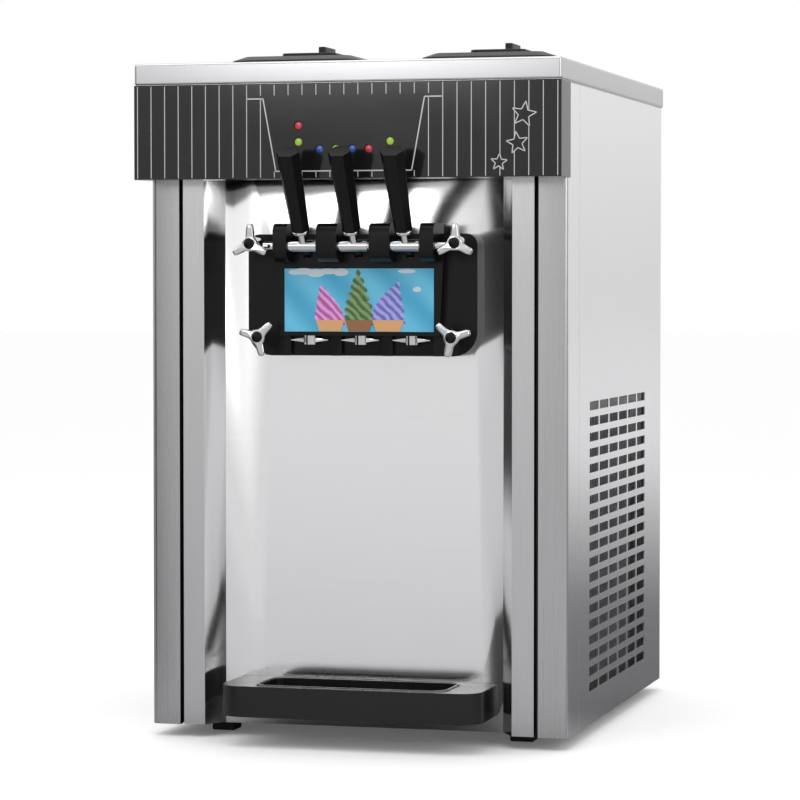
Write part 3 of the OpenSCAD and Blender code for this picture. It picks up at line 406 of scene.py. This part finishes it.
def makeKnob(nodeName, capName, turn, shape):
    low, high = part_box(nodeName)
    capLow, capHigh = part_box(capName)
    centreX, centreZ = (capLow.x + capHigh.x) / 2, (capLow.z + capHigh.z) / 2
    bm = bmesh.new()
    ring = bmesh.ops.create_circle(bm, cap_ends=True, segments=shape["points"], radius=1.0)
    for vert in ring["verts"]:
        vert.co *= knobReach(math.atan2(vert.co.y, vert.co.x) - math.radians(turn), shape) * mm
    top = bmesh.ops.extrude_face_region(bm, geom=bm.faces[:])
    raised = [g for g in top["geom"] if isinstance(g, bmesh.types.BMVert)]
    bmesh.ops.translate(bm, verts=raised, vec=(0, 0, shape["thickness"] * mm))
    rims = [e for e in bm.edges if len(e.link_faces) == 2
            and e.calc_face_angle(0) > math.radians(60)]
    bmesh.ops.bevel(bm, geom=rims, offset=shape["rounding"] * mm, segments=4, affect="EDGES",
                    profile=0.5, material=-1)
    backY = low.y + (shape["thickness"] + shape["backGap"]) * mm
    stemRadius = shape["stemRadius"] * mm
    stem = bmesh.ops.create_cone(bm, cap_ends=True, segments=40, radius1=stemRadius,
                                 radius2=stemRadius, depth=high.y - backY)
    bmesh.ops.translate(bm, verts=stem["verts"], vec=(0, 0, -(high.y - backY) / 2))
    # turned so that its own up points to the front
    bmesh.ops.transform(bm, matrix=Matrix.Rotation(math.pi / 2, 4, "X"), verts=bm.verts)
    bmesh.ops.translate(bm, verts=bm.verts, vec=(centreX, backY, centreZ))
    bmesh.ops.recalc_face_normals(bm, faces=bm.faces)
    finishPiece(nodeName + "_shown", bm, materials["chrome"], bodyOf[nodeName],
                (nodeName,))
    dome = bmesh.new()
    ball = bmesh.ops.create_uvsphere(dome, u_segments=36, v_segments=18,
                                     radius=shape["domeRadius"] * mm)
    bmesh.ops.scale(dome, vec=(1, shape["domeFlatness"], 1), verts=ball["verts"])
    bmesh.ops.translate(dome, verts=ball["verts"],
                        vec=(centreX, low.y + shape["domeInset"] * mm, centreZ))
    finishPiece(capName + "_shown", dome, materials["black_satin"], bodyOf[capName],
                (capName,))


for corner, turn in knobShape["turns"].items():
    makeKnob("knob_" + corner, "knob_cap_" + corner, turn, knobShape)
print("knobs made")

keyShape = {"radius": 5.0, "domeHeight": 0.9, "segments": 40}


def makeKey(nodeName, shape):
    low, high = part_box(nodeName)
    radius, dome = shape["radius"] * mm, shape["domeHeight"] * mm
    bm = bmesh.new()
    bmesh.ops.create_cone(bm, cap_ends=True, segments=shape["segments"], radius1=radius,
                          radius2=radius, depth=high.y - low.y - dome)
    bmesh.ops.transform(bm, matrix=Matrix.Rotation(math.pi / 2, 4, "X"), verts=bm.verts)
    bmesh.ops.translate(bm, verts=bm.verts, vec=((low.x + high.x) / 2, (low.y + high.y + dome) / 2,
                                                 (low.z + high.z) / 2))
    frontY = min(v.co.y for v in bm.verts)
    fronts = [e for e in bm.edges if all(abs(v.co.y - frontY) < 1e-6 for v in e.verts)]
    bmesh.ops.bevel(bm, geom=fronts, offset=dome, segments=4, affect="EDGES", profile=0.5,
                    material=-1)
    finishPiece(nodeName + "_shown", bm, materials[slotOf[nodeName]], bodyOf[nodeName],
                (nodeName,))


for nodeName in nodes:
    if nodeName.startswith("key_") and nodeName != "key_board":
        makeKey(nodeName, keyShape)
print("keys made")

collarShape = {"radius": 11.2, "height": 4.0, "rounding": 1.3, "segments": 48, "gap": 0.05,
               "gripWidth": 12}


def makeLeverCollars(shape):
    # bright ring around the lower end of each grip
    for place in ("left", "middle", "right"):
        bm = mergedCopy("grip_" + place)
        smallest = (shape["gripWidth"] * mm) ** 2
        ends = [f for f in bm.faces if abs(f.normal.z) > 0.8 and f.calc_area() > smallest]
        end = min(ends, key=lambda f: f.calc_center_median().z)
        centre, outward = end.calc_center_median().copy(), end.normal.copy()
        bm.free()
        ring = bmesh.new()
        bmesh.ops.create_cone(ring, cap_ends=True, segments=shape["segments"],
                              radius1=shape["radius"] * mm, radius2=shape["radius"] * mm,
                              depth=shape["height"] * mm)
        rims = [e for e in ring.edges if e.calc_face_angle(0) > math.radians(60)]
        bmesh.ops.bevel(ring, geom=rims, offset=shape["rounding"] * mm, segments=3, affect="EDGES",
                        profile=0.5, material=-1)
        turn = outward.to_track_quat("Z", "Y").to_matrix().to_4x4()
        moved = Matrix.Translation(centre + outward * (shape["height"] / 2 + shape["gap"]) * mm)
        bmesh.ops.transform(ring, matrix=moved @ turn, verts=ring.verts)
        finishPiece("leverCollar_" + place, ring, materials["chrome"], bodyOf["grip_" + place])


makeLeverCollars(collarShape)
print("collars made")


screwShape = {"headRadius": 4, "heights": (55, 295, 535, 773), "reach": 2.2, "slot": 0.8,
              "thickness": 0.3, "sink": 0.1}


def makeScrewRecesses(shape):
    # a cross in the head of each rear screw, a dark mark of painted shade standing in for the
    # recess
    bm = bmesh.new()
    low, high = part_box("rear_screws")
    long, slim, thin = 2 * shape["reach"] * mm, shape["slot"] * mm, shape["thickness"] * mm
    backY = high.y - shape["sink"] * mm
    for x in (low.x + shape["headRadius"] * mm, high.x - shape["headRadius"] * mm):
        for z in shape["heights"]:
            for size in ((long, thin, slim), (slim, thin, long)):
                bar = bmesh.ops.create_cube(bm, size=1.0)
                bmesh.ops.scale(bm, vec=size, verts=bar["verts"])
                bmesh.ops.translate(bm, verts=bar["verts"], vec=(x, backY, z * mm))
    finishPiece("screwRecesses", bm, recessPaintedShade, "cabinet")


makeScrewRecesses(screwShape)

# print on the header: pinstripes, a framed field and three plain stars
headerPrint = {"stripePitch": 17.7, "stripeCount": 15, "stripeWidth": 1.0, "lift": 0.08,
               "depth": 0.06, "edgeGap": 1.5, "fieldTopGap": 18.5, "fieldLowGap": 9,
               "ticksWithin": 112, "lowTicksWithin": 95, "tickLength": 13, "frameWidth": 1.5,
               # corners of the framed field: x, and whether it lies on the field's top
               "frame": [(-124.7, True), (-102.9, True), (-86.6, False), (85.2, False),
                         (101.2, True), (122.8, True)],
               "backLift": 0.14, "starLift": 0.2, "starWidth": 1.2, "starWaist": 0.42,
               # middle x and z, reach and tilt of each star
               "stars": [(224, 771.5, 16, -10), (216, 737.4, 14, 8), (193.5, 714.5, 10.7, -4)]}
panelLow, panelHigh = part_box("header_panel")
panelFront = panelLow.y


def addBar(bm, start, end, width, lift=headerPrint["lift"]):
    # thin bar on the header's front between two places (x, z)
    a, b = Vector((start[0], 0, start[1])), Vector((end[0], 0, end[1]))
    along = b - a
    bar = bmesh.ops.create_cube(bm, size=1.0)
    turn = Matrix.Rotation(math.atan2(along.x, along.z), 4, "Y")
    size = Matrix.Diagonal((width, headerPrint["depth"] * mm, along.length, 1))
    place = Matrix.Translation(((a.x + b.x) / 2, panelFront - lift * mm, (a.z + b.z) / 2))
    bmesh.ops.transform(bm, matrix=place @ turn @ size, verts=bar["verts"])


def addStar(bm, backs, star, shape):
    # outline as ten bars, in front of a filled shape that hides the stripes behind it
    x, z, size, tilt = star
    corners = []
    for k in range(10):
        reach = size if k % 2 == 0 else size * shape["starWaist"]
        angle = math.radians(90 + tilt + 36 * k)
        corners.append(((x + reach * math.cos(angle)) * mm, (z + reach * math.sin(angle)) * mm))
    for k in range(10):
        addBar(bm, corners[k], corners[(k + 1) % 10], shape["starWidth"] * mm, shape["starLift"])
    back = bmesh.ops.create_circle(backs, cap_ends=True, segments=10, radius=1.0)
    for vert, (cornerX, cornerZ) in zip(back["verts"], corners):
        vert.co = Vector((cornerX, panelFront - shape["backLift"] * mm, cornerZ))


def makeHeaderPrint(shape):
    bm = bmesh.new()
    lowZ, highZ = panelLow.z + shape["edgeGap"] * mm, panelHigh.z - shape["edgeGap"] * mm
    fieldTop = panelHigh.z - shape["fieldTopGap"] * mm
    fieldLow = panelLow.z + shape["fieldLowGap"] * mm
    width = shape["stripeWidth"] * mm
    for k in range(-shape["stripeCount"], shape["stripeCount"] + 1):
        x = k * shape["stripePitch"] * mm
        if abs(x) > panelHigh.x - 2 * mm:
            continue
        if abs(x) < shape["ticksWithin"] * mm:  # short ticks above and below the framed field
            below = fieldLow if abs(x) < shape["lowTicksWithin"] * mm else fieldTop
            addBar(bm, (x, highZ - shape["tickLength"] * mm), (x, highZ), width)
            addBar(bm, (x, lowZ), (x, below), width)
        else:
            addBar(bm, (x, lowZ), (x, highZ), width)
    corners = [(x * mm, fieldTop if onTop else fieldLow) for x, onTop in shape["frame"]]
    for start, end in zip(corners, corners[1:]):
        addBar(bm, start, end, shape["frameWidth"] * mm)
    starBacks = bmesh.new()
    for star in shape["stars"]:
        addStar(bm, starBacks, star, shape)
    finishPiece("headerPrint", bm, paleInk, "cabinet")
    bmesh.ops.recalc_face_normals(starBacks, faces=starBacks.faces)
    for face in starBacks.faces:
        if face.normal.y > 0:
            face.normal_flip()
    finishPiece("headerStarBacks", starBacks, materials["header_black"], "cabinet")


makeHeaderPrint(headerPrint)


# picture: plain sky with three swirled cones
pictureShape = {
    # x, z above the picture's lower edge, half width and half height of each disc of cloud
    "clouds": [(-72, 73, 9, 3.2), (-62, 74, 13, 4.0), (-46, 72, 12, 5.0), (-30, 74, 13, 3.6),
               (-14, 73, 10, 4.6), (70, 74, 11, 2.6), (83, 52, 5.5, 3.2)],
    "cloudStep": 0.02,  # each disc lies this much in front of the last
    # x, half width, tip above the picture's lower edge, colour, and lean of the tip
    "cones": [(-27.5, 20.5, 55, (0.66, 0.20, 0.56), -11), (9.5, 20.0, 76, (0.09, 0.20, 0.03), -1),
              (46.5, 22.5, 60, (0.24, 0.24, 0.74), 12)],
    "turns": 7, "turnHeight": 6.8, "turnTilt": 11, "turnStep": 0.04, "lift": 0.06,
    "wafer": (0.70, 0.31, 0.11), "darkWafer": (0.26, 0.10, 0.04), "waferHeight": 14,
    "waferLift": 0.50, "waferDepth": 0.12}


def swirlMaterial(name, base):
    dark = [c * 0.55 for c in base]
    light = [min(1, c * 1.35 + 0.1) for c in base]
    return bandedMaterial(name, (dark, light), 55.0, 3.0, 2.0, 0.25)


def addDisc(bm, x, y, z, halfWidth, halfHeight, tilt):
    disc = bmesh.ops.create_cone(bm, cap_ends=True, segments=28, radius1=1.0, radius2=0.9,
                                 depth=0.1 * mm)
    turn = (Matrix.Rotation(tilt, 4, "Y") @ Matrix.Diagonal((halfWidth, 1, halfHeight, 1))
            @ Matrix.Rotation(math.pi / 2, 4, "X"))
    bmesh.ops.transform(bm, matrix=Matrix.Translation((x, y, z)) @ turn, verts=disc["verts"])


def makePicture(shape):
    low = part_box("picture_panel")[0]
    front, lowZ = low.y, low.z
    waferHeight = shape["waferHeight"] * mm
    wafer = moulded("waferCone", shape["wafer"], (0.8, 0.55, 0.3), 0.4, 300, 0.2)
    darkWafer = moulded("darkWaferCone", shape["darkWafer"], (0.4, 0.2, 0.1), 0.4, 300, 0.2)
    cloud = bmesh.new()
    for index, (x, z, halfWidth, halfHeight) in enumerate(shape["clouds"]):
        y = front - (shape["lift"] + shape["cloudStep"] * index) * mm
        addDisc(cloud, x * mm, y, lowZ + z * mm, halfWidth * mm, halfHeight * mm, 0.0)
    finishPiece("pictureClouds", cloud, paleCloud, "cabinet")
    for index, (x, halfWidth, tip, colour, lean) in enumerate(shape["cones"]):
        ice = bmesh.new()
        tall = tip * mm - waferHeight
        for turn in range(shape["turns"]):
            share = turn / (shape["turns"] - 1)  # narrower and lower towards the tip
            y = front - (2 * shape["lift"] + shape["turnStep"] * turn) * mm
            addDisc(ice, (x + lean * share ** 2) * mm, y, lowZ + waferHeight + tall * share * 0.93,
                    halfWidth * mm * (1 - 0.86 * share ** 1.7),
                    shape["turnHeight"] * mm * (1 - 0.3 * share), math.radians(shape["turnTilt"]))
        finishPiece("pictureSwirl_%d" % index, ice, swirlMaterial("swirl%d" % index, colour),
                    "cabinet")
        cone = bmesh.new()
        wedge = bmesh.ops.create_cone(cone, cap_ends=True, segments=4, radius1=0.95, radius2=1.25,
                                      depth=1.0)["verts"]
        bmesh.ops.rotate(cone, verts=wedge, cent=(0, 0, 0),
                         matrix=Matrix.Rotation(math.pi / 4, 3, "Z"))
        bmesh.ops.scale(cone, verts=wedge,
                        vec=(halfWidth * mm, shape["waferDepth"] * mm, waferHeight))
        bmesh.ops.translate(cone, verts=wedge, vec=(x * mm, front - shape["waferLift"] * mm,
                                                    lowZ + waferHeight / 2 + 0.4 * mm))
        finishPiece("pictureWafer_%d" % index, cone, (wafer, darkWafer, wafer)[index], "cabinet")


makePicture(pictureShape)
print("print and picture made")


# raised rim of the tray's basin: half length, half width, corner radius, how much wider its outer
# edge is, thickness, and its middle's distance from the tray's front
rimShape = {"halfX": 119, "halfY": 43.4, "corner": 19, "spread": (1.024, 1.062, 1),
            "thickness": 0.9, "fromFront": 53.2, "lift": 0.5, "rounding": 0.3}


def makeTrayRim(shape):
    low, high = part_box("drip_tray")
    bm = bmesh.new()
    ring = bmesh.ops.create_circle(bm, cap_ends=False, segments=96, radius=1.0)
    corner = shape["corner"] * mm
    straightX, straightY = shape["halfX"] * mm - corner, shape["halfY"] * mm - corner
    for vert in ring["verts"]:  # pulled out from a circle to a rounded oblong
        v = vert.co.normalized()
        vert.co = Vector((math.copysign(straightX, v.x) + corner * v.x,
                          math.copysign(straightY, v.y) + corner * v.y, 0))
    outline = bmesh.ops.extrude_edge_only(bm, edges=bm.edges[:])
    wide = [g for g in outline["geom"] if isinstance(g, bmesh.types.BMVert)]
    bmesh.ops.scale(bm, verts=wide, vec=shape["spread"])
    bmesh.ops.solidify(bm, geom=bm.faces[:], thickness=shape["thickness"] * mm)
    bmesh.ops.recalc_face_normals(bm, faces=bm.faces)
    bmesh.ops.translate(bm, verts=bm.verts,
                        vec=((low.x + high.x) / 2, low.y + shape["fromFront"] * mm,
                             high.z + shape["lift"] * mm))
    finishPiece("trayRim", bm, trayBlack, "drip_tray",
                bevel=(shape["rounding"] * mm, 2))


makeTrayRim(rimShape)
print("tray rim made")


studio = {"floorColor": (0.95, 0.95, 0.955), "floorGlow": 0.10, "worldStrength": 0.93,
          # what the metal mirrors of the world low down and above, and the height between the two
          "worldLow": (0.50, 0.50, 0.51), "worldHigh": (1.0, 1.0, 1.0), "worldEdge": (0.46, 0.56),
          # what it mirrors of the floor: before the object, behind its front where it is painted
          # darker as painted shade, and far away
          "floorInFront": (0.50, 0.50, 0.51), "floorBehindPaintedShade": (0.13, 0.13, 0.135),
          "floorFar": (0.80, 0.80, 0.81), "behindFrom": -0.55, "behindTo": 0.1,
          "farFrom": 1.4, "farTo": 6.0,
          # a dark flag: its direction, its soft edge, its shade, and where on the floor it begins
          "flagToward": (-0.74, -0.67, 0.0), "flagEdge": (0.93, 0.97), "flagShade": 0.04,
          "flagFrom": (0.75, 1.1)}


def rangeNode(tree, value, start, end, low=0.0, high=1.0):
    node = tree.nodes.new("ShaderNodeMapRange")
    for label, number in zip(("From Min", "From Max", "To Min", "To Max"), (start, end, low, high)):
        node.inputs[label].default_value = number
    tree.links.new(value, node.inputs["Value"])
    return node.outputs[0]


def mixNode(tree, share, first, second):
    # each of the two is a plain colour or another node's output
    node = tree.nodes.new("ShaderNodeMix")
    node.data_type = "RGBA"
    tree.links.new(share, node.inputs[0])
    for socket, colour in ((node.inputs[6], first), (node.inputs[7], second)):
        if isinstance(colour, tuple):
            socket.default_value = (*colour, 1)
        else:
            tree.links.new(colour, socket)
    return node.outputs[2]


def vectorNode(tree, operation, value):
    node = tree.nodes.new("ShaderNodeVectorMath")
    node.operation = operation
    tree.links.new(value, node.inputs[0])
    return node


def addFlag(tree, direction, colour, look):
    # darkens what lies towards the flag, which stands in the front left of the studio
    toward = vectorNode(tree, "DOT_PRODUCT", direction)
    toward.inputs[1].default_value = look["flagToward"]
    shaded = vectorNode(tree, "SCALE", colour)
    shut = rangeNode(tree, toward.outputs["Value"], *look["flagEdge"], 1.0, look["flagShade"])
    tree.links.new(shut, shaded.inputs["Scale"])
    return shaded.outputs[0]


def mixForCamera(tree, shown, mirrored):
    # the camera sees the first shader, everything else the second
    ray = tree.nodes.new("ShaderNodeLightPath")
    mix = tree.nodes.new("ShaderNodeMixShader")
    tree.links.new(ray.outputs["Is Camera Ray"], mix.inputs[0])
    tree.links.new(mirrored, mix.inputs[1])
    tree.links.new(shown, mix.inputs[2])
    return mix.outputs[0]


def makeWorld(look):
    world = bpy.data.worlds.new("studioWorld")
    bpy.context.scene.world = world
    world.use_nodes = True
    tree = world.node_tree
    tree.nodes.clear()
    place = tree.nodes.new("ShaderNodeTexCoord")
    split = tree.nodes.new("ShaderNodeSeparateXYZ")
    tree.links.new(place.outputs["Generated"], split.inputs[0])
    ramp = tree.nodes.new("ShaderNodeValToRGB")
    for stop, position, colour in zip(ramp.color_ramp.elements, look["worldEdge"],
                                      (look["worldLow"], look["worldHigh"])):
        stop.position = position
        stop.color = (*colour, 1)
    height = mathNode(tree, "ADD", mathNode(tree, "MULTIPLY", split.outputs["Z"], 0.5), 0.5)
    tree.links.new(height, ramp.inputs["Fac"])
    soft = tree.nodes.new("ShaderNodeBackground")
    soft.inputs["Strength"].default_value = look["worldStrength"]
    flagged = addFlag(tree, place.outputs["Generated"], ramp.outputs["Color"], look)
    tree.links.new(flagged, soft.inputs["Color"])
    white = tree.nodes.new("ShaderNodeBackground")
    white.inputs["Color"].default_value = (1, 1, 1, 1)
    out = tree.nodes.new("ShaderNodeOutputWorld")
    tree.links.new(mixForCamera(tree, white.outputs[0], soft.outputs[0]), out.inputs["Surface"])


def makeFloor(look):
    floorMesh = bpy.data.meshes.new("studioFloor")
    bm = bmesh.new()
    bmesh.ops.create_grid(bm, x_segments=1, y_segments=1, size=30)
    bm.to_mesh(floorMesh)
    bm.free()
    floor = bpy.data.objects.new("studioFloor", floorMesh)
    bpy.context.scene.collection.objects.link(floor)
    material, tree, shader = startMaterial("floorPale")
    shader.inputs["Base Color"].default_value = (*look["floorColor"], 1)
    shader.inputs["Roughness"].default_value = 0.6
    glow = tree.nodes.new("ShaderNodeEmission")
    glow.inputs["Strength"].default_value = look["floorGlow"]
    lit = tree.nodes.new("ShaderNodeAddShader")
    tree.links.new(shader.outputs[0], lit.inputs[0])
    tree.links.new(glow.outputs[0], lit.inputs[1])

    # what the steel mirrors low down, with the floor painted darker behind the object's front as
    # painted shade
    spot = tree.nodes.new("ShaderNodeTexCoord").outputs["Object"]
    split = tree.nodes.new("ShaderNodeSeparateXYZ")
    tree.links.new(spot, split.inputs[0])
    along = split.outputs["Y"]
    behind = rangeNode(tree, along, look["behindFrom"], look["behindTo"])
    near = mixNode(tree, behind, look["floorInFront"], look["floorBehindPaintedShade"])
    away = rangeNode(tree, mathNode(tree, "ABSOLUTE", along), look["farFrom"], look["farTo"])
    plain = mixNode(tree, away, near, look["floorFar"])
    outward = vectorNode(tree, "NORMALIZE", spot).outputs[0]
    reach = rangeNode(tree, vectorNode(tree, "LENGTH", spot).outputs["Value"], *look["flagFrom"])
    grey = tree.nodes.new("ShaderNodeBsdfDiffuse")
    tree.links.new(mixNode(tree, reach, plain, addFlag(tree, outward, plain, look)),
                   grey.inputs["Color"])
    tree.links.new(mixForCamera(tree, lit.outputs[0], grey.outputs[0]),
                   tree.nodes["Material Output"].inputs["Surface"])
    floorMesh.materials.append(material)


# place, target, width, height and watts of each lamp
softboxes = {"keySoftbox": ((-2.6, -1.9, 2.3), (0, 0, 0.5), 1.4, 1.8, 14),
             "fillSoftbox": ((2.6, -1.4, 1.5), (0, 0, 0.5), 1.2, 1.8, 14),
             "frontSoftbox": ((-1.15, -4.4, 1.34), (0, 0, 0.75), 0.7, 0.5, 3.8),
             "topSoftbox": ((0, -0.4, 2.6), (0, 0, 0.8), 2.0, 2.0, 16)}


def addSoftbox(name, place, target, width, height, watts):
    lamp = bpy.data.lights.new(name, "AREA")
    lamp.shape = "RECTANGLE"
    lamp.size, lamp.size_y = width, height
    lamp.energy = watts
    holder = bpy.data.objects.new(name, lamp)
    holder.location = place
    holder.rotation_euler = (Vector(target) - Vector(place)).to_track_quat("-Z", "Y").to_euler()
    bpy.context.scene.collection.objects.link(holder)


makeWorld(studio)
makeFloor(studio)
for boxName, settings in softboxes.items():
    addSoftbox(boxName, *settings)

cameraView = {"place": (1.072, columnsFront - 3.726, 0.571), "turn": 15.25, "tilt": 2.15,
              "lens": 141.5}
cameraData = bpy.data.cameras.new("viewCamera")
cameraData.lens = cameraView["lens"]
cameraData.sensor_width = 36.0
camera = bpy.data.objects.new("viewCamera", cameraData)
camera.location = cameraView["place"]
camera.rotation_euler = (math.radians(90 - cameraView["tilt"]), 0, math.radians(cameraView["turn"]))
bpy.context.scene.collection.objects.link(camera)
bpy.context.scene.camera = camera
bpy.context.scene.view_settings.view_transform = "Standard"
print("studio made")
